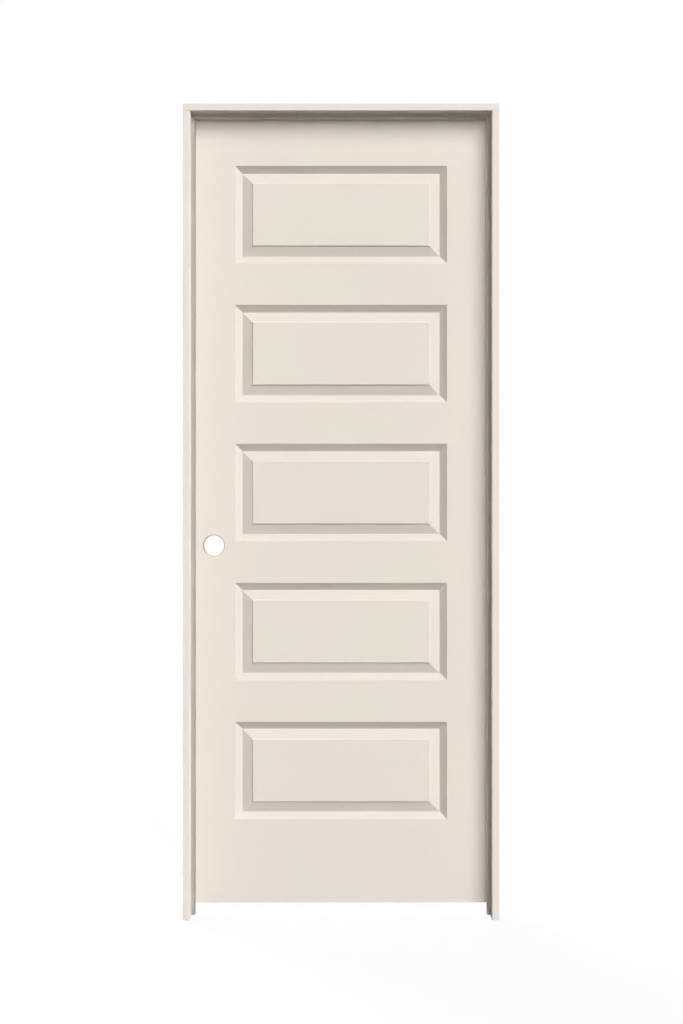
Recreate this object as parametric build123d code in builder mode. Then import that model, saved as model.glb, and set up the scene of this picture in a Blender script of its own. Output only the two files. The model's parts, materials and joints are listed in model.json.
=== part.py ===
"""Prehung interior door: a moulded five-panel hollow leaf hung in a flat jamb with applied stops.

Millimetres, +Z up. The origin lies on the hinge jamb's outer face, at the floor and at the middle of
the jamb's depth. The unit reaches to -X, the side with the stops faces -Y and the leaf opens to +Y.
"""
import os
from math import atan2, cos, radians, sin, tan

from build123d import *

# Leaf
leaf_width = 762.0
leaf_height = 2032.0
leaf_thickness = 34.9
undercut = 30.0
latch_bevel_angle = 3.0
skin_thickness = 3.2

# Frame
jamb_thickness = 17.5
jamb_depth = 115.9
jamb_edge_round = 1.5
stop_thickness = 9.5
stop_width = 31.8
stop_round = 3.0
stop_foot_gap = 5.0

# Gaps round the leaf
reveal = 5.0
stop_clearance = 5.0

# Panels moulded into each skin; where pressed deepest, the two skins stay panel_hollow apart
panel_count = 5
panel_spacing = 107.5
top_margin = 122.0
bottom_margin = 215.0
side_margin = 106.0
cove_width = 19.0
cove_hollow_angle = 6.0
panel_hollow = 4.5
bevel_width = 25.0
field_recess = 1.0
step_radius = 3.5
mould_land = 6.0

# Wood inside the leaf
stile_width = 22.0
top_rail_height = 28.0
bottom_rail_height = 38.0
lock_block_clearance = 8.0
lock_block_height = 480.0

# Lock preparation
lock_drop = 1107.0
lock_backset = 51.0
lock_bore_radius = 27.0
lock_rim_chamfer = 2.4
latch_bore_radius = 12.7
faceplate_height = 57.2
faceplate_width = 25.4
faceplate_depth = 3.2
faceplate_corner = 6.3
strike_height = 57.2
strike_reach = 14.0
strike_depth = 1.6
strike_hole_radius = 11.1
strike_hole_depth = 12.7

# Butt hinges
hinge_height = 88.9
hinge_leaf_width = 44.4
hinge_leaf_thickness = 2.3
hinge_corner = 15.9
hinge_setback = 6.3
hinge_top_drop = 178.0
hinge_bottom_rise = 279.0
mortise_clearance = 0.2
knuckle_count = 5
knuckle_radius = 6.3
knuckle_gap = 0.4
knuckle_clearance = 0.5
pin_radius = 3.1
pin_clearance = 0.08
pin_head_radius = 6.6
pin_head_height = 4.0
pin_head_chamfer = 1.6
pin_tip_length = 3.0

# Places worked out from the sizes above
hinge_face_x = -jamb_thickness
leaf_hinge_x = hinge_face_x - reveal
leaf_latch_x = leaf_hinge_x - leaf_width
latch_face_x = leaf_latch_x - reveal
unit_left_x = latch_face_x - jamb_thickness
leaf_middle_x = (leaf_hinge_x + leaf_latch_x) / 2

jamb_back_y = jamb_depth / 2
leaf_back_y = jamb_back_y
leaf_front_y = leaf_back_y - leaf_thickness
leaf_middle_y = (leaf_front_y + leaf_back_y) / 2
stop_back_y = leaf_front_y - stop_clearance
stop_front_y = stop_back_y - stop_width

leaf_bottom_z = undercut
leaf_top_z = leaf_bottom_z + leaf_height
head_z = leaf_top_z + reveal
head_stop_z = head_z - stop_thickness
lock_z = leaf_top_z - lock_drop
lock_x = leaf_latch_x + lock_backset

panel_width = leaf_width - 2 * side_margin
panel_run = leaf_height - top_margin - bottom_margin + panel_spacing
panel_pitch = panel_run / panel_count
panel_height = panel_pitch - panel_spacing
mould_width = cove_width + bevel_width + step_radius
panel_depth = (leaf_thickness - panel_hollow) / 2 - skin_thickness
bevel_rise = panel_depth - step_radius - field_recess
core_front_y = leaf_front_y + skin_thickness
core_back_y = leaf_back_y - skin_thickness
core_thickness = core_back_y - core_front_y
lock_block_width = side_margin - stile_width - lock_block_clearance

hinge_inner_y = leaf_front_y + hinge_setback
pin_x = (hinge_face_x + leaf_hinge_x) / 2
pin_y = hinge_inner_y + hinge_leaf_width
pin_hole_radius = pin_radius + pin_clearance
knuckle_pitch = hinge_height / knuckle_count
top_hinge_z = leaf_top_z - hinge_top_drop - hinge_height / 2
bottom_hinge_z = leaf_bottom_z + hinge_bottom_rise + hinge_height / 2
middle_hinge_z = (top_hinge_z + bottom_hinge_z) / 2
hinges = {"upper": top_hinge_z, "middle": middle_hinge_z, "lower": bottom_hinge_z}

panel_middles = [
    leaf_top_z - top_margin - panel_height / 2 - index * panel_pitch for index in range(panel_count)
]

# The latch edge leans so that the stop side of the leaf is the narrower one
latch_lean = tan(radians(latch_bevel_angle))
latch_plane = Plane(
    origin=(leaf_latch_x, leaf_back_y, 0), x_dir=(0, 0, 1), z_dir=(1, latch_lean, 0)
)


def save(piece, name):
    """Name a finished piece and write it out."""
    piece.label = name
    export_step(piece, f"parts/{name}.step")


def upright_plane(y):
    """A plane across the doorway at depth y, drawn in X and Z, facing the stop side."""
    return Plane.XZ.offset(-y)


def mortise(face_x, depth, into, z):
    """The pocket for one hinge leaf, open to the back edge of the wood."""
    width = hinge_leaf_width + mortise_clearance
    height = hinge_height + 2 * mortise_clearance
    with BuildPart(mode=Mode.PRIVATE) as pocket:
        with BuildSketch(Plane.YZ.offset(face_x)) as outline:
            with Locations((pin_y - width / 2, z)):
                Rectangle(width, height)
            fillet(outline.vertices().group_by(Axis.X)[0], hinge_corner)
        extrude(amount=into * depth)
    return pocket.part


def lock_drill():
    """The round cutter for the lock, right through the leaf from face to face."""
    with BuildPart(mode=Mode.PRIVATE) as drill:
        with BuildSketch(upright_plane(leaf_back_y + 1)):
            with Locations((lock_x, lock_z)):
                Circle(lock_bore_radius)
        extrude(amount=leaf_thickness + 2)
    return drill.part


def latch_drill():
    """The cutter for the latch: a round hole from the edge to the lock bore, and the faceplate pocket."""
    with BuildPart(mode=Mode.PRIVATE) as drill:
        with BuildSketch(Plane.YZ.offset(leaf_latch_x - 1)):
            with Locations((leaf_middle_y, lock_z)):
                Circle(latch_bore_radius)
        extrude(amount=lock_backset)
        with BuildSketch(Plane.YZ.offset(leaf_latch_x - 1)):
            with Locations((leaf_middle_y, lock_z)):
                RectangleRounded(faceplate_width, faceplate_height, faceplate_corner)
        extrude(amount=faceplate_depth + 1)
    return drill.part


def moulded_skin():
    """One pressed face of the leaf, as it lies on the stop side, before edges and bore are cut."""
    land_width = panel_width + 2 * mould_land
    land_height = panel_height + 2 * mould_land
    field_width = panel_width - 2 * (mould_width + mould_land)
    field_height = panel_height - 2 * (mould_width + mould_land)
    first_z = panel_middles[0]
    with BuildPart(mode=Mode.PRIVATE) as ring:
        with BuildLine(upright_plane(leaf_front_y)) as rail:
            Polyline(
                (leaf_middle_x, first_z - panel_height / 2),
                (leaf_middle_x + panel_width / 2, first_z - panel_height / 2),
                (leaf_middle_x + panel_width / 2, first_z + panel_height / 2),
                (leaf_middle_x - panel_width / 2, first_z + panel_height / 2),
                (leaf_middle_x - panel_width / 2, first_z - panel_height / 2),
                (leaf_middle_x, first_z - panel_height / 2),
            )
        start = Plane(
            origin=(leaf_middle_x, leaf_front_y, first_z - panel_height / 2),
            x_dir=(0, 0, 1),
            z_dir=(1, 0, 0),
        )
        bevel_foot = Vector(cove_width, -panel_depth)
        bevel_head = Vector(cove_width + bevel_width, bevel_rise - panel_depth)
        field_edge = Vector(mould_width, -field_recess)
        outer_land = Vector(-mould_land, 0)
        inner_land = Vector(mould_width + mould_land, -field_recess)
        inward = Vector(0, -skin_thickness)
        cove_angle = atan2(panel_depth, cove_width) - radians(cove_hollow_angle)
        cove_run = (-cos(cove_angle), sin(cove_angle))
        with BuildSketch(start):
            with BuildLine():
                Line(outer_land, (0, 0))
                TangentArc(bevel_foot, (0, 0), tangent=cove_run)
                Line(bevel_foot, bevel_head)
                TangentArc(field_edge, bevel_head, tangent=(-1, 0))
                Polyline(field_edge, inner_land, inner_land + inward, field_edge + inward)
                Polyline(field_edge + inward, bevel_head + inward, bevel_foot + inward)
                TangentArc(bevel_foot + inward, inward, tangent=cove_run)
                Polyline(inward, outer_land + inward, outer_land)
            make_face()
        sweep(path=rail.wires()[0], transition=Transition.RIGHT)
        with BuildSketch(upright_plane(leaf_front_y + field_recess + skin_thickness)):
            with Locations((leaf_middle_x, first_z)):
                Rectangle(field_width, field_height)
        extrude(amount=skin_thickness)
    with BuildPart(mode=Mode.PRIVATE) as skin:
        with BuildSketch(upright_plane(core_front_y)):
            with Locations((leaf_middle_x, leaf_bottom_z + leaf_height / 2)):
                Rectangle(leaf_width, leaf_height)
            with Locations(*[(leaf_middle_x, z) for z in panel_middles]):
                Rectangle(land_width, land_height, mode=Mode.SUBTRACT)
        extrude(amount=skin_thickness)
        for z in panel_middles:
            add(Pos(0, 0, z - first_z) * ring.part)
    return skin.part


def leaf_plate(hinge_z, face_x, into, first_knuckle, name):
    """One half of a butt hinge: a plate with two rounded corners and its share of the knuckles."""
    plate_width = hinge_leaf_width - knuckle_radius - knuckle_clearance
    with BuildPart() as half:
        with BuildSketch(Plane.YZ.offset(face_x)) as plate:
            with Locations((hinge_inner_y + plate_width / 2, hinge_z)):
                Rectangle(plate_width, hinge_height)
            fillet(plate.vertices().group_by(Axis.X)[0], hinge_corner)
        extrude(amount=into * hinge_leaf_thickness)
        for index in range(first_knuckle, knuckle_count, 2):
            knuckle_z = hinge_z - hinge_height / 2 + index * knuckle_pitch + knuckle_gap / 2
            knuckle_height = knuckle_pitch - knuckle_gap
            with BuildSketch(Plane.XY.offset(knuckle_z)):
                with Locations((pin_x, pin_y)):
                    Circle(knuckle_radius)
                with Locations((face_x + into * hinge_leaf_thickness / 2, pin_y - knuckle_radius)):
                    Rectangle(hinge_leaf_thickness, 2 * knuckle_radius)
            extrude(amount=knuckle_height)
        with BuildSketch(Plane.XY.offset(hinge_z - hinge_height / 2)):
            with Locations((pin_x, pin_y)):
                Circle(pin_hole_radius)
        extrude(amount=hinge_height, mode=Mode.SUBTRACT)
    save(half.part, name)


def hinge_pin(hinge_z, name):
    """A loose pin: bevelled head on the top knuckle, and a shank that ends below the barrel."""
    bottom = hinge_z - hinge_height / 2
    top = hinge_z + hinge_height / 2
    with BuildPart() as pin:
        with BuildSketch(Plane.XY.offset(bottom - pin_tip_length)):
            with Locations((pin_x, pin_y)):
                Circle(pin_radius)
        extrude(amount=hinge_height + pin_tip_length)
        with BuildSketch(Plane.XY.offset(top)):
            with Locations((pin_x, pin_y)):
                Circle(pin_head_radius)
        extrude(amount=pin_head_height)
        chamfer(pin.edges().filter_by(GeomType.CIRCLE).sort_by(Axis.Z)[-1], pin_head_chamfer)
    save(pin.part, name)


os.makedirs("parts", exist_ok=True)

# Jambs: two legs under a head that runs the full width
with BuildPart() as hinge_jamb:
    with BuildSketch(Plane.XY) as outline:
        with Locations((hinge_face_x / 2, 0)):
            Rectangle(jamb_thickness, jamb_depth)
        fillet(outline.vertices().group_by(Axis.X)[0], jamb_edge_round)
    extrude(amount=head_z)
    for z in hinges.values():
        add(mortise(hinge_face_x, hinge_leaf_thickness, 1, z), mode=Mode.SUBTRACT)
save(hinge_jamb.part, "hinge_jamb")

with BuildPart() as latch_jamb:
    with BuildSketch(Plane.XY) as outline:
        with Locations((latch_face_x - jamb_thickness / 2, 0)):
            Rectangle(jamb_thickness, jamb_depth)
        fillet(outline.vertices().group_by(Axis.X)[-1], jamb_edge_round)
    extrude(amount=head_z)
    strike_width = jamb_back_y - leaf_middle_y + strike_reach
    with BuildSketch(Plane.YZ.offset(latch_face_x)) as strike:
        with Locations((jamb_back_y - strike_width / 2, lock_z)):
            Rectangle(strike_width, strike_height)
        fillet(strike.vertices().group_by(Axis.X)[0], faceplate_corner)
    extrude(amount=-strike_depth, mode=Mode.SUBTRACT)
    with BuildSketch(Plane.YZ.offset(latch_face_x)):
        with Locations((leaf_middle_y, lock_z)):
            Circle(strike_hole_radius)
    extrude(amount=-strike_hole_depth, mode=Mode.SUBTRACT)
save(latch_jamb.part, "latch_jamb")

with BuildPart() as head_jamb:
    with BuildSketch(Plane.YZ.offset(unit_left_x)) as outline:
        with Locations((0, head_z + jamb_thickness / 2)):
            Rectangle(jamb_depth, jamb_thickness)
        fillet(outline.vertices().group_by(Axis.Y)[0], jamb_edge_round)
    extrude(amount=-unit_left_x)
save(head_jamb.part, "head_jamb")

# Stops: flat strips with the corners towards the doorway rounded on the front
with BuildPart() as head_stop:
    with BuildSketch(Plane.YZ.offset(latch_face_x)) as outline:
        with Locations(((stop_front_y + stop_back_y) / 2, head_z - stop_thickness / 2)):
            Rectangle(stop_width, stop_thickness)
        fillet(outline.vertices().group_by(Axis.Y)[0].sort_by(Axis.X)[0], stop_round)
    extrude(amount=hinge_face_x - latch_face_x)
save(head_stop.part, "head_stop")

for name, wall_x, inward in (("hinge_stop", hinge_face_x, -1), ("latch_stop", latch_face_x, 1)):
    with BuildPart() as side_stop:
        with BuildSketch(Plane.XY.offset(stop_foot_gap)) as outline:
            with Locations((wall_x + inward * stop_thickness / 2, (stop_front_y + stop_back_y) / 2)):
                Rectangle(stop_thickness, stop_width)
            inner_corners = outline.vertices().group_by(Axis.X)[-1 if inward > 0 else 0]
            fillet(inner_corners.sort_by(Axis.Y)[0], stop_round)
        extrude(amount=head_stop_z - stop_foot_gap)
    save(side_stop.part, name)

# Leaf: two pressed skins over a wooden rim with a block for the lock
with BuildPart() as front_skin:
    add(moulded_skin())
    add(lock_drill(), mode=Mode.SUBTRACT)
    rim = front_skin.edges().filter_by(GeomType.CIRCLE).filter_by(
        lambda edge: abs(edge.radius - lock_bore_radius) < 0.01
    )
    chamfer(rim.sort_by(Axis.Y)[0], lock_rim_chamfer)
    split(bisect_by=latch_plane, keep=Keep.TOP)
save(front_skin.part, "front_skin")

with BuildPart() as back_skin:
    add(moulded_skin().mirror(upright_plane(leaf_middle_y)))
    add(lock_drill(), mode=Mode.SUBTRACT)
    rim = back_skin.edges().filter_by(GeomType.CIRCLE).filter_by(
        lambda edge: abs(edge.radius - lock_bore_radius) < 0.01
    )
    chamfer(rim.sort_by(Axis.Y)[-1], lock_rim_chamfer)
    split(bisect_by=latch_plane, keep=Keep.TOP)
    for z in hinges.values():
        add(mortise(leaf_hinge_x, hinge_leaf_thickness, -1, z), mode=Mode.SUBTRACT)
save(back_skin.part, "back_skin")

with BuildPart() as hinge_stile:
    with BuildSketch(Plane.XY.offset(leaf_bottom_z)):
        with Locations((leaf_hinge_x - stile_width / 2, leaf_middle_y)):
            Rectangle(stile_width, core_thickness)
    extrude(amount=leaf_height)
    for z in hinges.values():
        add(mortise(leaf_hinge_x, hinge_leaf_thickness, -1, z), mode=Mode.SUBTRACT)
save(hinge_stile.part, "hinge_stile")

with BuildPart() as latch_stile:
    with BuildSketch(Plane.XY.offset(leaf_bottom_z)):
        with Locations((leaf_latch_x + stile_width / 2, leaf_middle_y)):
            Rectangle(stile_width, core_thickness)
    extrude(amount=leaf_height)
    split(bisect_by=latch_plane, keep=Keep.TOP)
    add(latch_drill(), mode=Mode.SUBTRACT)
    add(lock_drill(), mode=Mode.SUBTRACT)
save(latch_stile.part, "latch_stile")

with BuildPart() as lock_block:
    with BuildSketch(Plane.XY.offset(lock_z - lock_block_height / 2)):
        with Locations((leaf_latch_x + stile_width + lock_block_width / 2, leaf_middle_y)):
            Rectangle(lock_block_width, core_thickness)
    extrude(amount=lock_block_height)
    add(latch_drill(), mode=Mode.SUBTRACT)
    add(lock_drill(), mode=Mode.SUBTRACT)
save(lock_block.part, "lock_block")

rail_length = leaf_width - 2 * stile_width
for name, foot_z, height in (
    ("top_rail", leaf_top_z - top_rail_height, top_rail_height),
    ("bottom_rail", leaf_bottom_z, bottom_rail_height),
):
    with BuildPart() as rail_piece:
        with BuildSketch(Plane.XY.offset(foot_z)):
            with Locations((leaf_middle_x, leaf_middle_y)):
                Rectangle(rail_length, core_thickness)
        extrude(amount=height)
    save(rail_piece.part, name)

# Three butt hinges: one half on the jamb, one on the leaf, joined by a pin
for place, z in hinges.items():
    leaf_plate(z, hinge_face_x, 1, 0, f"{place}_hinge_jamb_leaf")
    leaf_plate(z, leaf_hinge_x, -1, 1, f"{place}_hinge_door_leaf")
    hinge_pin(z, f"{place}_hinge_pin")
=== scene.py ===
"""Looks for the prehung five-panel door: primed skins and jambs, bare wood inside, satin nickel hinges."""
import json
from math import cos, pi, sin

import bmesh
import bpy
from mathutils import Matrix, Vector

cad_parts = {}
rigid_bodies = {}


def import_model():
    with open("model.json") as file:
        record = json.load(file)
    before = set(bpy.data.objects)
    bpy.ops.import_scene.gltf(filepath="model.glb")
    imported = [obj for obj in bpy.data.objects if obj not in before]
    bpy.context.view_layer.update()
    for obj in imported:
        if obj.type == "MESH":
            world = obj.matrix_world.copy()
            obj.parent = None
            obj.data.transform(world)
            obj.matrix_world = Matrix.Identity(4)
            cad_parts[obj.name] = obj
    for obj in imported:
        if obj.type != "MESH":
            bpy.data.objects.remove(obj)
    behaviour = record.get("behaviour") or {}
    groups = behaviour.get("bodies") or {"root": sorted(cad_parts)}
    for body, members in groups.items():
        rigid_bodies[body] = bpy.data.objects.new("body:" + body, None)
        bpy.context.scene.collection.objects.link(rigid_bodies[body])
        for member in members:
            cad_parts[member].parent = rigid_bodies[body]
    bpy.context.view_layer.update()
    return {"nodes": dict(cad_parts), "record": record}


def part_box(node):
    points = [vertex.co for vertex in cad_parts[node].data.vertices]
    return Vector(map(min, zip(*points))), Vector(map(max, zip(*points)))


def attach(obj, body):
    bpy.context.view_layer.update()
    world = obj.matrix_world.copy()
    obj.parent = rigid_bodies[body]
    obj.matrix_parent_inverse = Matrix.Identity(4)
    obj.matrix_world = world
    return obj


# Start from an empty scene
for left_over in list(bpy.data.objects):
    bpy.data.objects.remove(left_over)

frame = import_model()
nodes = frame["nodes"]
mounts = {mount["name"]: mount for mount in frame["record"]["mounts"]}
scene = bpy.context.scene
scene.view_settings.view_transform = "Standard"

# Nodes that share lamps
LEAF = ("front_skin", "back_skin", "hinge_stile", "latch_stile", "top_rail", "bottom_rail", "lock_block")
JAMBS = ("hinge_jamb", "latch_jamb", "head_jamb")
UPRIGHT_STOPS = ("hinge_stop", "latch_stop")
STOPS = (*UPRIGHT_STOPS, "head_stop")
HINGE_SIDE = ("hinge_jamb", "hinge_stop")
LATCH_SIDE = ("latch_jamb",)

# Hinges, by the first word of their nodes' names
HINGES = ("upper", "middle", "lower")

# Places on the object, in metres
JAMB_FRONT_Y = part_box("hinge_jamb")[0].y
HINGE_FACE_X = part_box("hinge_jamb")[0].x
LEAF_HINGE_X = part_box("hinge_stile")[1].x
STOP_MIDDLE_Y = (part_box("latch_stop")[0].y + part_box("latch_stop")[1].y) / 2
BORE_X, LOCK_Y, LOCK_Z = mounts["knob_bore"]["pos_m"]
BORE_RADIUS = mounts["knob_bore"]["dims"]["r_mm"] / 1000

# Wood that was cut after priming and lies bare, in metres
POCKET_HEIGHT = 0.0572
FACEPLATE_WIDTH = 0.0254
LATCH_EDGE_LEAN = 0.0022
STRIKE_REACH = 0.014
CUT_MARGIN = 0.0003

# Brads through the stops, in metres
BRAD_SPACING = 0.34
BRAD_RADIUS = 0.0012

# Share of a brad mark's radius that is all putty, and its dent in units of the primer's relief
BRAD_CORE = 0.7
BRAD_DENT = 5.0

# Colours, linear
PRIMER = (0.781, 0.720, 0.654)
PRIMER_WARM = (0.786, 0.733, 0.643)
JAMB_PRIMER = (0.815, 0.755, 0.695)
JAMB_PRIMER_WARM = (0.810, 0.757, 0.684)
PUTTY = (0.690, 0.610, 0.500)
FIBRE = (0.235, 0.150, 0.085)
FIBRE_PALE = (0.400, 0.255, 0.145)
EDGE_WOOD = (0.735, 0.675, 0.565)
EDGE_WOOD_DARK = (0.655, 0.580, 0.455)
PINE = (0.62, 0.45, 0.27)
PINE_DARK = (0.46, 0.30, 0.15)
NICKEL = (0.51, 0.485, 0.44)
NICKEL_WORN = (0.44, 0.42, 0.38)
# Painted shade in the screws' cross recesses, the second with a trace of grime
RECESS_SHADE = (0.02, 0.018, 0.016)
RECESS_SHADE_AND_GRIME = (0.06, 0.055, 0.05)

# Sizes of texture, as features for each metre, or for each metre along X, Y and Z
CLOUDS = 2.6
GLOSS_PATCHES = 14.0
WAVES = 38.0
SPECKS = 260.0
PEEL = 620.0
FUZZ = 900.0
WEAR = 55.0
GRAIN_ALONG_Z = (85.0, 85.0, 2.2)
GRAIN_ALONG_X = (2.2, 85.0, 85.0)
BRUSHED = (900.0, 900.0, 24.0)

# Fibres for each streak of the grain
FIBRES = 6.0

# Shares of a second texture that is added to a first
WAVE_SHARE = 0.8
FIBRE_SHARE = 0.45
GRAIN_SHARE = 0.4

# Spans of a texture's value over which a finish changes from one end to the other
NOISE_SPAN = (0.3, 0.7)
CLOUD_SPAN = (0.35, 0.65)
SPECK_SPAN = (0.30, 0.46)
WEAR_SPAN = (0.35, 0.7)
WOOD_SPAN = (0.45, 0.95)
WOOD_ROUGH_SPAN = (0.4, 1.0)

# Tones at both ends of a span, as shares of the colour
SPECK_TONES = (0.972, 1.0)
GRAIN_TONES = (0.97, 1.0)

# Painted shade that darkens the primer on the slopes of the panels, known by the share of the normal that
# points to the front or back
SLOPE_SHADE_SPAN = (0.965, 0.995)
SLOPE_SHADE_TONES = (0.915, 1.0)

# Roughness at both ends of a span
SKIN_ROUGH = (0.46, 0.58)
JAMB_ROUGH = (0.55, 0.45)
EDGE_ROUGH = (0.50, 0.62)
RAW_ROUGH = (0.65, 0.77)
NICKEL_ROUGH = (0.26, 0.40)
RECESS_ROUGH = (0.5, 0.7)

# Gloss of primer and wood, and how much of a screw's recess is bare metal
PRIMER_SPECULAR = 0.25
WOOD_SPECULAR = 0.3
RECESS_METAL = 0.6

# Heights of relief and radii of softened edges, in metres
PRIMER_RELIEF = 0.00006
WOOD_RELIEF = 0.0002
BRUSHED_RELIEF = 0.00002
PAINTED_EDGE = 0.0006
STEEL_EDGE = 0.0004
EDGE_SAMPLES = 4

# Strength of relief
PRIMER_BUMP = 0.5
WOOD_BUMP = 0.6
BRUSHED_BUMP = 0.35


class Nodes:
    """A short way to build the node tree of one material."""

    def __init__(self, name):
        self.material = bpy.data.materials.new(name)
        self.material.use_nodes = True
        self.tree = self.material.node_tree
        self.tree.nodes.clear()
        self.shader = self.add("ShaderNodeBsdfPrincipled")
        output = self.add("ShaderNodeOutputMaterial")
        self.tree.links.new(self.shader.outputs[0], output.inputs["Surface"])
        coordinates = self.add("ShaderNodeTexCoord").outputs
        self.place = coordinates["Object"]
        self.facing = coordinates["Normal"]

    def add(self, kind, **settings):
        """A new node with the given settings."""
        node = self.tree.nodes.new(kind)
        for key, value in settings.items():
            setattr(node, key, value)
        return node

    def feed(self, socket, value):
        """Link an output to a socket, or write a plain value on it."""
        if isinstance(value, bpy.types.NodeSocket):
            self.tree.links.new(value, socket)
        else:
            socket.default_value = value

    def math(self, operation, first, second=0.0, third=0.0):
        """The result of one operation on links or plain numbers."""
        node = self.add("ShaderNodeMath", operation=operation)
        for socket, value in zip(node.inputs, (first, second, third)):
            self.feed(socket, value)
        return node.outputs[0]

    def stretched(self, factors):
        """The object's coordinates times one factor for each axis."""
        node = self.add("ShaderNodeVectorMath", operation="MULTIPLY")
        self.feed(node.inputs[0], self.place)
        node.inputs[1].default_value = factors
        return node.outputs[0]

    def axes(self, vector=None):
        """The X, Y and Z of a vector, or of the object's coordinates."""
        node = self.add("ShaderNodeSeparateXYZ")
        self.feed(node.inputs[0], vector or self.place)
        return node.outputs

    def away(self, first, first_middle, second, second_middle):
        """The distance from a point, in the plane of two axes."""
        aside = self.math("SUBTRACT", first, first_middle)
        above = self.math("SUBTRACT", second, second_middle)
        squares = self.math("MULTIPLY_ADD", aside, aside, self.math("MULTIPLY", above, above))
        return self.math("SQRT", squares)

    def within(self, boxes):
        """One inside any of the boxes, each given by its low and high corners."""
        found = 0.0
        for low, high in boxes:
            inside = 1.0
            for place, lowest, highest in zip(self.axes(), low, high):
                over = self.math("GREATER_THAN", place, lowest)
                under = self.math("LESS_THAN", place, highest)
                inside = self.math("MULTIPLY", inside, self.math("MULTIPLY", over, under))
            found = self.math("MAXIMUM", found, inside)
        return found

    def noise(self, scale=1.0, detail=2.0, roughness=0.5, vector=None, distortion=0.0):
        """The value of a noise at a vector, or at the object's coordinates."""
        node = self.add("ShaderNodeTexNoise")
        self.feed(node.inputs["Vector"], vector or self.place)
        node.inputs["Scale"].default_value = scale
        node.inputs["Detail"].default_value = detail
        node.inputs["Roughness"].default_value = roughness
        node.inputs["Distortion"].default_value = distortion
        return node.outputs["Fac"]

    def spread(self, value, span, ends=(0.0, 1.0)):
        """Map a span of values evenly from one end to the other, held at both ends outside the span."""
        node = self.add("ShaderNodeMapRange", clamp=True)
        for key, number in zip(("From Min", "From Max", "To Min", "To Max"), (*span, *ends)):
            node.inputs[key].default_value = number
        self.feed(node.inputs["Value"], value)
        return node.outputs["Result"]

    def mix(self, factor, first, second):
        """A colour between two colours, each a link or three numbers."""
        node = self.add("ShaderNodeMix", data_type="RGBA")
        self.feed(node.inputs["Factor"], factor)
        ends = [socket for socket in node.inputs if socket.type == "RGBA"]
        for socket, colour in zip(ends, (first, second)):
            self.feed(socket, colour if isinstance(colour, bpy.types.NodeSocket) else (*colour, 1.0))
        return next(socket for socket in node.outputs if socket.type == "RGBA")

    def shaded(self, colour, factor):
        """A colour times a number."""
        node = self.add("ShaderNodeVectorMath", operation="SCALE")
        self.feed(node.inputs[0], colour)
        self.feed(node.inputs["Scale"], factor)
        return node.outputs[0]

    def bump(self, height, distance, strength, edge):
        """Set the normal: softened edges first, then the height on top."""
        node = self.add("ShaderNodeBump")
        node.inputs["Strength"].default_value = strength
        node.inputs["Distance"].default_value = distance
        self.feed(node.inputs["Height"], height)
        softened = self.add("ShaderNodeBevel", samples=EDGE_SAMPLES)
        softened.inputs["Radius"].default_value = edge
        self.feed(node.inputs["Normal"], softened.outputs[0])
        self.feed(self.shader.inputs["Normal"], node.outputs[0])

    def put(self, **values):
        """Write plain values or links on the shader's own sockets."""
        for key, value in values.items():
            self.feed(self.shader.inputs[key.replace("_", " ")], value)


def primer_height(made):
    """Fine sprayed texture with a slower waviness under it."""
    peel = made.noise(PEEL, roughness=0.55)
    return made.math("MULTIPLY_ADD", made.noise(WAVES, detail=1.0), WAVE_SHARE, peel)


def wood_colour(made, grain_factors, light, dark):
    """Long grain along the axis with the smallest factor, as a colour and as a height."""
    along = made.stretched(grain_factors)
    grain = made.noise(detail=5.0, roughness=0.6, vector=along, distortion=0.6)
    fibres = made.noise(FIBRES, detail=3.0, roughness=0.7, vector=along)
    tone = made.math("MULTIPLY_ADD", fibres, FIBRE_SHARE, grain)
    return made.mix(made.spread(tone, WOOD_SPAN), light, dark), tone


def skin_material():
    """Primed pressed fibre, with painted shade darkening the panels' slopes, and brown inside the bore."""
    made = Nodes("primed_skin_finish")
    x, _, z = made.axes()
    clouds = made.spread(made.noise(CLOUDS), CLOUD_SPAN)
    specks = made.spread(made.noise(SPECKS), SPECK_SPAN, SPECK_TONES)
    level = made.math("ABSOLUTE", made.axes(made.facing)["Y"])
    # Random specks of tone, times painted shade that darkens the primer on the panels' slopes
    specks_and_slope_shade = made.math("MULTIPLY", specks, made.spread(level, SLOPE_SHADE_SPAN, SLOPE_SHADE_TONES))
    primer = made.shaded(made.mix(clouds, PRIMER, PRIMER_WARM), specks_and_slope_shade)
    in_bore = made.math("LESS_THAN", made.away(x, BORE_X, z, LOCK_Z), BORE_RADIUS + CUT_MARGIN)
    fibre = made.mix(made.noise(FUZZ, detail=3.0, roughness=0.7), FIBRE, FIBRE_PALE)
    rough = made.spread(made.noise(GLOSS_PATCHES, detail=3.0), NOISE_SPAN, SKIN_ROUGH)
    colour = made.mix(in_bore, primer, fibre)
    made.put(Base_Color=colour, Roughness=rough, Specular_IOR_Level=PRIMER_SPECULAR)
    made.bump(primer_height(made), PRIMER_RELIEF, PRIMER_BUMP, PAINTED_EDGE)
    return made.material


def brad_marks(made, axis):
    """One on the filled holes of a row of brads, on the wide face of a stop."""
    place = made.axes()
    beside = made.math("PINGPONG", place[axis], BRAD_SPACING / 2)
    away = made.away(beside, 0.0, place["Y"], STOP_MIDDLE_Y)
    return made.spread(away, (BRAD_RADIUS * BRAD_CORE, BRAD_RADIUS), (1.0, 0.0))


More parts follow.
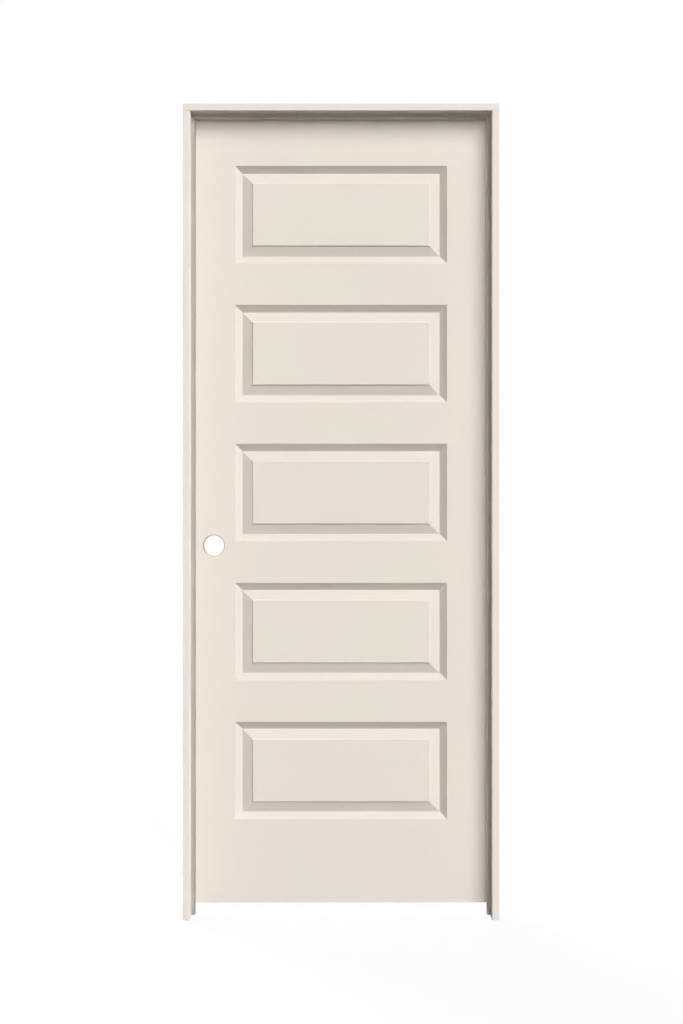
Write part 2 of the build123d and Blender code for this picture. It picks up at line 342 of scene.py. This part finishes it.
def jamb_material(name, grain_factors, bare=(), brads_along=None):
    """Primed softwood with the grain just telegraphing through, bare inside the given boxes."""
    made = Nodes(name)
    clouds = made.spread(made.noise(CLOUDS), CLOUD_SPAN)
    along = made.stretched(grain_factors)
    grain = made.noise(detail=4.0, roughness=0.6, vector=along, distortion=0.4)
    primer = made.mix(clouds, JAMB_PRIMER, JAMB_PRIMER_WARM)
    colour = made.shaded(primer, made.spread(grain, NOISE_SPAN, GRAIN_TONES))
    height = made.math("MULTIPLY_ADD", grain, GRAIN_SHARE, primer_height(made))
    if brads_along:
        marks = brad_marks(made, brads_along)
        colour = made.mix(marks, colour, PUTTY)
        height = made.math("MULTIPLY_ADD", marks, -BRAD_DENT, height)
    if bare:
        wood, _ = wood_colour(made, grain_factors, PINE, PINE_DARK)
        colour = made.mix(made.within(bare), colour, wood)
    rough = made.spread(grain, NOISE_SPAN, JAMB_ROUGH)
    made.put(Base_Color=colour, Roughness=rough, Specular_IOR_Level=PRIMER_SPECULAR)
    made.bump(height, PRIMER_RELIEF, PRIMER_BUMP, PAINTED_EDGE)
    return made.material


def wood_material(name, grain_factors, light, dark, rough_ends, bare=()):
    """Thinly primed or raw softwood, raw inside the given boxes."""
    made = Nodes(name)
    colour, tone = wood_colour(made, grain_factors, light, dark)
    if bare:
        raw, _ = wood_colour(made, grain_factors, PINE, PINE_DARK)
        colour = made.mix(made.within(bare), colour, raw)
    rough = made.spread(tone, WOOD_ROUGH_SPAN, rough_ends)
    made.put(Base_Color=colour, Roughness=rough, Specular_IOR_Level=WOOD_SPECULAR)
    made.bump(tone, WOOD_RELIEF, WOOD_BUMP, PAINTED_EDGE)
    return made.material


def nickel_material():
    """Satin nickel plate with a fine brushed grain."""
    made = Nodes("satin_nickel")
    brushed = made.noise(detail=4.0, roughness=0.7, vector=made.stretched(BRUSHED))
    worn = made.spread(made.noise(WEAR, detail=3.0), WEAR_SPAN)
    rough = made.spread(brushed, NOISE_SPAN, NICKEL_ROUGH)
    made.put(Base_Color=made.mix(worn, NICKEL, NICKEL_WORN), Roughness=rough, Metallic=1.0)
    made.bump(brushed, BRUSHED_RELIEF, BRUSHED_BUMP, STEEL_EDGE)
    return made.material


def recess_shade_material():
    """Painted shade in a screw's cross recess, with a trace of grime."""
    made = Nodes("screw_recess_painted_shade")
    grime = made.noise(FUZZ)
    rough = made.spread(grime, NOISE_SPAN, RECESS_ROUGH)
    made.put(Base_Color=made.mix(grime, RECESS_SHADE, RECESS_SHADE_AND_GRIME), Roughness=rough, Metallic=RECESS_METAL)
    return made.material


def lock_pocket(low_x, high_x, low_y, high_y):
    """The box round a pocket that is cut at the lock's height."""
    reach = POCKET_HEIGHT / 2 + CUT_MARGIN
    return Vector((low_x, low_y, LOCK_Z - reach)), Vector((high_x, high_y, LOCK_Z + reach))


def strike_pocket():
    """The pocket and the hole in the latch jamb."""
    low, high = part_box("latch_jamb")
    inner_y = LOCK_Y - STRIKE_REACH - CUT_MARGIN
    return lock_pocket(low.x + CUT_MARGIN, high.x - CUT_MARGIN, inner_y, high.y - CUT_MARGIN)


def faceplate_pocket():
    """The pocket and the hole in the leaf's latch edge, which leans a little."""
    low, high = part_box("latch_stile")
    reach = FACEPLATE_WIDTH / 2 + CUT_MARGIN
    return lock_pocket(low.x + LATCH_EDGE_LEAN, high.x - CUT_MARGIN, LOCK_Y - reach, LOCK_Y + reach)


def head_ends():
    """The two sawn ends of the head jamb."""
    low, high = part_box("head_jamb")
    margin = Vector((CUT_MARGIN, CUT_MARGIN, CUT_MARGIN))
    left_end = (low - margin, Vector((low.x, high.y, high.z)) + margin)
    right_end = (Vector((high.x, low.y, low.z)) - margin, high + margin)
    return left_end, right_end


skin_finish = skin_material()
upright_finish = jamb_material("primed_jamb_upright", GRAIN_ALONG_Z)
strike_finish = jamb_material("primed_jamb_strike", GRAIN_ALONG_Z, bare=[strike_pocket()])
level_finish = jamb_material("primed_jamb_level", GRAIN_ALONG_X, bare=head_ends())
upright_stop_finish = jamb_material("primed_stop_upright", GRAIN_ALONG_Z, brads_along="Z")
level_stop_finish = jamb_material("primed_stop_level", GRAIN_ALONG_X, brads_along="X")
stile_finish = wood_material("primed_edge_upright", GRAIN_ALONG_Z, EDGE_WOOD, EDGE_WOOD_DARK, EDGE_ROUGH)
latch_finish = wood_material(
    "primed_edge_latch", GRAIN_ALONG_Z, EDGE_WOOD, EDGE_WOOD_DARK, EDGE_ROUGH, bare=[faceplate_pocket()]
)
rail_finish = wood_material("primed_edge_level", GRAIN_ALONG_X, EDGE_WOOD, EDGE_WOOD_DARK, EDGE_ROUGH)
block_finish = wood_material("raw_block", GRAIN_ALONG_Z, PINE, PINE_DARK, RAW_ROUGH)
nickel_finish = nickel_material()
recess_shade_finish = recess_shade_material()

finishes = {
    "front_skin": skin_finish, "back_skin": skin_finish,
    "hinge_jamb": upright_finish, "latch_jamb": strike_finish, "head_jamb": level_finish,
    "hinge_stop": upright_stop_finish, "latch_stop": upright_stop_finish,
    "head_stop": level_stop_finish,
    "hinge_stile": stile_finish, "latch_stile": latch_finish,
    "top_rail": rail_finish, "bottom_rail": rail_finish, "lock_block": block_finish,
}
for name, node in nodes.items():
    for material_slot in node.material_slots:
        material_slot.link = "OBJECT"
        material_slot.material = finishes.get(name, nickel_finish)

# Hinge screws: the profile in shares of the radius and height, turns in radians, the rest in metres
SCREW_PROFILE = ((1.0, 0.0), (1.0, 0.45), (0.93, 0.82), (0.72, 1.0))
SCREW_RADIUS = 0.0041
SCREW_PROUD = 0.00055
SCREW_SEGMENTS = 40
SCREW_PITCH = 0.030
SCREW_STAGGER = 0.006
SCREW_TURN = 0.4
SCREW_TURN_STEP = 0.55
CROSS_REACH = 0.0021
CROSS_HALF = 0.00042
CROSS_ARM = ((CROSS_HALF, -CROSS_HALF), (CROSS_REACH, -CROSS_HALF), (CROSS_REACH, CROSS_HALF))
RECESS_FLOOR = 0.00008
RECESS_TAPER = 0.8


def ring(mesh, radius, height):
    """A circle of vertices round the local Z axis."""
    turns = [2 * pi * index / SCREW_SEGMENTS for index in range(SCREW_SEGMENTS)]
    return [mesh.verts.new((radius * cos(turn), radius * sin(turn), height)) for turn in turns]


def pairs(row):
    """Each item of a closed row with the next one."""
    return zip(row, row[1:] + row[:1])


def screw_head(mesh, turn):
    """A flat screw head with a cross recess, seated on z = 0 and facing +Z."""
    start = set(mesh.verts)
    rings = [ring(mesh, SCREW_RADIUS * across, SCREW_PROUD * up) for across, up in SCREW_PROFILE]
    for lower, upper in zip(rings, rings[1:]):
        for (low_a, low_b), (high_a, high_b) in zip(pairs(lower), pairs(upper)):
            mesh.faces.new((low_a, low_b, high_b, high_a)).smooth = True
    mesh.faces.new(list(reversed(rings[0])))
    corners = [
        Matrix.Rotation(turn + quarter * pi / 2, 2) @ Vector(corner)
        for quarter in range(4) for corner in CROSS_ARM
    ]
    rim = [mesh.verts.new((*corner, SCREW_PROUD)) for corner in corners]
    bottom = [mesh.verts.new((*(RECESS_TAPER * corner), RECESS_FLOOR)) for corner in corners]
    edges = [mesh.edges.new(pair) for pair in pairs(rim)]
    edges += [mesh.edges.get(pair) for pair in pairs(rings[-1])]
    bmesh.ops.triangle_fill(mesh, edges=edges, use_beauty=True, normal=(0, 0, 1))
    for (rim_a, rim_b), (bottom_a, bottom_b) in zip(pairs(rim), pairs(bottom)):
        mesh.faces.new((rim_b, rim_a, bottom_a, bottom_b)).material_index = 1
    mesh.faces.new(bottom).material_index = 1
    return [vertex for vertex in mesh.verts if vertex not in start]


def hinge_screws(name, body, plate, pin, face_x, facing):
    """Three staggered screws on one hinge plate, between its inner edge and its knuckles."""
    low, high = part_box(plate)
    pin_low, pin_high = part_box(pin)
    knuckle_edge_y = pin_low.y + pin_high.y - high.y
    plate_middle = Vector((face_x, (low.y + knuckle_edge_y) / 2, (low.z + high.z) / 2))
    outward = Matrix.Rotation(facing * pi / 2, 4, "Y")
    mesh = bmesh.new()
    for row in (-1, 0, 1):
        made = screw_head(mesh, SCREW_TURN + SCREW_TURN_STEP * row)
        stagger = SCREW_STAGGER if row else -SCREW_STAGGER
        place = plate_middle + Vector((0, stagger, row * SCREW_PITCH))
        bmesh.ops.transform(mesh, matrix=Matrix.Translation(place) @ outward, verts=made)
    bmesh.ops.recalc_face_normals(mesh, faces=mesh.faces)
    data = bpy.data.meshes.new(name)
    mesh.to_mesh(data)
    mesh.free()
    data.materials.append(nickel_finish)
    # Second slot: painted shade in the cross recesses
    data.materials.append(recess_shade_finish)
    piece = bpy.data.objects.new(name, data)
    scene.collection.objects.link(piece)
    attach(piece, body)


for hinge in HINGES:
    pin = f"{hinge}_hinge_pin"
    hinge_screws(f"{hinge}_jamb_screws", "frame", f"{hinge}_hinge_jamb_leaf", pin, HINGE_FACE_X, -1)
    hinge_screws(f"{hinge}_door_screws", "door", f"{hinge}_hinge_door_leaf", pin, LEAF_HINGE_X, 1)

# Floor and surroundings: the floor's reach in metres, the rest as shares of white
FLOOR_REACH = 40.0
FLOOR_GLOW = 0.93
FLOOR_SHADE = 0.09
FLOOR_BOUNCE = 0.07
AMBIENT = 0.05


def grey(level):
    """A colour from a share of white."""
    return level, level, level, 1.0


def filled(tree, kind, **values):
    """A node with plain values on its named sockets."""
    node = tree.nodes.new(kind)
    for key, value in values.items():
        node.inputs[key].default_value = value
    return node


def show(tree, seen, bounced, output_kind):
    """One shader for what is seen directly, in gloss or through glass, and one for other light."""
    path = tree.nodes.new("ShaderNodeLightPath")
    factor = path.outputs["Is Camera Ray"]
    for ray in ("Is Glossy Ray", "Is Transmission Ray"):
        either = tree.nodes.new("ShaderNodeMath")
        either.operation = "MAXIMUM"
        tree.links.new(factor, either.inputs[0])
        tree.links.new(path.outputs[ray], either.inputs[1])
        factor = either.outputs[0]
    choice = tree.nodes.new("ShaderNodeMixShader")
    output = tree.nodes.new(output_kind)
    tree.links.new(factor, choice.inputs["Fac"])
    tree.links.new(bounced.outputs[0], choice.inputs[1])
    tree.links.new(seen.outputs[0], choice.inputs[2])
    tree.links.new(choice.outputs[0], output.inputs["Surface"])


def white_floor():
    """A floor that looks white, holds a faint shadow and throws little light back."""
    mesh = bmesh.new()
    bmesh.ops.create_grid(mesh, x_segments=1, y_segments=1, size=FLOOR_REACH)
    data = bpy.data.meshes.new("floor")
    mesh.to_mesh(data)
    mesh.free()
    floor = bpy.data.objects.new("floor", data)
    scene.collection.objects.link(floor)
    material = bpy.data.materials.new("white_floor")
    material.use_nodes = True
    tree = material.node_tree
    tree.nodes.clear()
    glow = filled(tree, "ShaderNodeEmission", Color=grey(1.0), Strength=FLOOR_GLOW)
    shade = filled(tree, "ShaderNodeBsdfDiffuse", Color=grey(FLOOR_SHADE))
    white = tree.nodes.new("ShaderNodeAddShader")
    tree.links.new(glow.outputs[0], white.inputs[0])
    tree.links.new(shade.outputs[0], white.inputs[1])
    dark = filled(tree, "ShaderNodeBsdfDiffuse", Color=grey(FLOOR_BOUNCE))
    show(tree, white, dark, "ShaderNodeOutputMaterial")
    data.materials.append(material)


def white_world():
    """White to the eye, with a low even light on the object."""
    world = bpy.data.worlds.new("studio")
    scene.world = world
    world.use_nodes = True
    tree = world.node_tree
    tree.nodes.clear()
    white = filled(tree, "ShaderNodeBackground", Color=grey(1.0), Strength=1.0)
    dim = filled(tree, "ShaderNodeBackground", Color=grey(1.0), Strength=AMBIENT)
    show(tree, white, dim, "ShaderNodeOutputWorld")


# How wide the lamps look, in radians
KEY_WIDTH = 0.72
SOFT_WIDTH = 0.62
SIDE_WIDTH = 0.40
BACK_WIDTH = 0.60


def sun(name, right, front, top, width, shadow=True, only=(), but=()):
    """A distant lamp, given by the share of full light that it puts on right, front and top faces.

    Without a shadow it is a fill: the faces that it lights throw none of its light on.
    """
    towards = Vector((right, -front, top))
    lamp = bpy.data.lights.new(name, "SUN")
    lamp.energy = towards.length * pi
    lamp.angle = width
    lamp.use_shadow = shadow
    if not shadow:
        lamp.cycles.max_bounces = 0
    holder = bpy.data.objects.new(name, lamp)
    holder.rotation_euler = towards.to_track_quat("Z", "Y").to_euler()
    scene.collection.objects.link(holder)
    if only or but:
        picked = bpy.data.collections.new(name + "_picks")
        for piece in only or but:
            picked.objects.link(nodes[piece])
        for entry in picked.collection_objects:
            entry.light_linking.link_state = "EXCLUDE" if but else "INCLUDE"
        holder.light_linking.receiver_collection = picked


white_floor()
white_world()
sun("key", right=0.21, front=0.76, top=0.32, width=KEY_WIDTH, but=STOPS)
sun("jamb_fill", right=0.04, front=0.14, top=0.05, width=SOFT_WIDTH, shadow=False, only=JAMBS)
sun("jamb_side", right=0.36, front=0.01, top=0.01, width=SIDE_WIDTH, shadow=False, only=JAMBS)
sun("latch_side", right=0.18, front=0.01, top=0.01, width=SIDE_WIDTH, shadow=False, only=LATCH_SIDE)
sun("hinge_side", right=-0.10, front=0.01, top=0.01, width=SIDE_WIDTH, shadow=False, only=HINGE_SIDE)
sun("stop_key", right=0.09, front=0.32, top=0.12, width=SOFT_WIDTH, only=UPRIGHT_STOPS)
sun("stop_fill", right=0.02, front=0.07, top=0.01, width=SOFT_WIDTH, shadow=False, only=STOPS)
sun("leaf_rake", right=0.41, front=0.16, top=0.29, width=SIDE_WIDTH, shadow=False, only=LEAF)
sun("back", right=-0.42, front=-0.86, top=0.44, width=BACK_WIDTH)

# Camera, level and square to the front: metres, and millimetres for the sensor and the lens
CAMERA_X = -0.4022
CAMERA_DISTANCE = 5.05
CAMERA_Z = 1.04225
SENSOR_HEIGHT = 36.0
FOCAL_LENGTH = 69.56

lens = bpy.data.cameras.new("camera")
lens.sensor_fit = "VERTICAL"
lens.sensor_height = SENSOR_HEIGHT
lens.lens = FOCAL_LENGTH
camera = bpy.data.objects.new("camera", lens)
camera.location = (CAMERA_X, JAMB_FRONT_Y - CAMERA_DISTANCE, CAMERA_Z)
camera.rotation_euler = (pi / 2, 0, 0)
scene.collection.objects.link(camera)
scene.camera = camera
